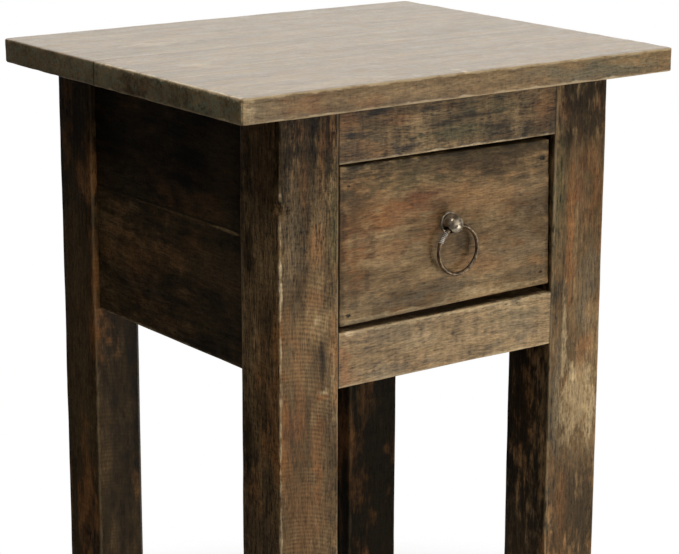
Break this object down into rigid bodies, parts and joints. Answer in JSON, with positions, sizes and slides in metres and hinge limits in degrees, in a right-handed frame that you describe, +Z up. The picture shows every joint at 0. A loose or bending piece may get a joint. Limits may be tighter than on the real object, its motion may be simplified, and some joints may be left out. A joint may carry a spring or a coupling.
{
  "type": "side table with drawer",
  "caption": "Rustic side table: square legs, board aprons, overhanging top and a drawer with a ring pull.",
  "frame": {"origin": "on the floor under the centre of the top's outline", "axes": "+X to the right as seen from the drawer's side, +Y to the rear, so the drawer opens towards -Y, +Z up"},
  "size_m": [0.406, 0.343, 0.711],
  "materials": {
    "stained_wood": "weathered dark walnut stain, satin wax",
    "raw_wood": "unfinished planed hardwood",
    "plywood_panel": "unfinished plywood",
    "aged_iron": "aged, burnished on its high spots",
    "plain_steel": "plain, bright"
  },
  "bodies": {
    "carcass": {"top_board_front": "stained_wood", "top_board_rear": "stained_wood", "top_edge_dowels": "raw_wood", "leg_front_left": "stained_wood", "leg_front_right": "stained_wood", "leg_rear_left": "stained_wood", "leg_rear_right": "stained_wood", "rail_front_top": "stained_wood", "rail_front_bottom": "stained_wood", "apron_left_upper": "stained_wood", "apron_left_lower": "stained_wood", "apron_right_upper": "stained_wood", "apron_right_lower": "stained_wood", "apron_rear_upper": "stained_wood", "apron_rear_lower": "stained_wood", "runner_left": "raw_wood", "runner_right": "raw_wood", "guide_left": "raw_wood", "guide_right": "raw_wood", "kicker_left": "raw_wood", "kicker_right": "raw_wood", "drawer_stops": "raw_wood", "top_screws": "plain_steel", "kicker_screws": "plain_steel", "runner_screws": "plain_steel", "guide_screws": "plain_steel"},
    "drawer": {"drawer_front": "stained_wood", "drawer_side_left": "raw_wood", "drawer_side_right": "raw_wood", "drawer_back": "raw_wood", "drawer_bottom": "plywood_panel", "drawer_front_nails": "aged_iron", "drawer_back_nails": "plain_steel", "drawer_bottom_nails": "plain_steel", "pull_knob": "aged_iron", "pull_collar": "aged_iron", "pull_washer": "plain_steel", "pull_nut": "plain_steel"},
    "ring": {"pull_ring": "aged_iron", "pull_ring_whipping": "aged_iron"}
  },
  "joints": [
    {"name": "drawer_slide", "type": "slide", "parent": "carcass", "child": "drawer", "axis": [0, -1, 0], "range_m": [0, 0.2]},
    {"name": "ring_swing", "type": "hinge", "parent": "drawer", "child": "ring", "pos_m": [-0.00065, -0.1538, 0.59081], "axis": [-0.9781, 0, -0.2079], "range_deg": [-5, 180]}
  ]
}
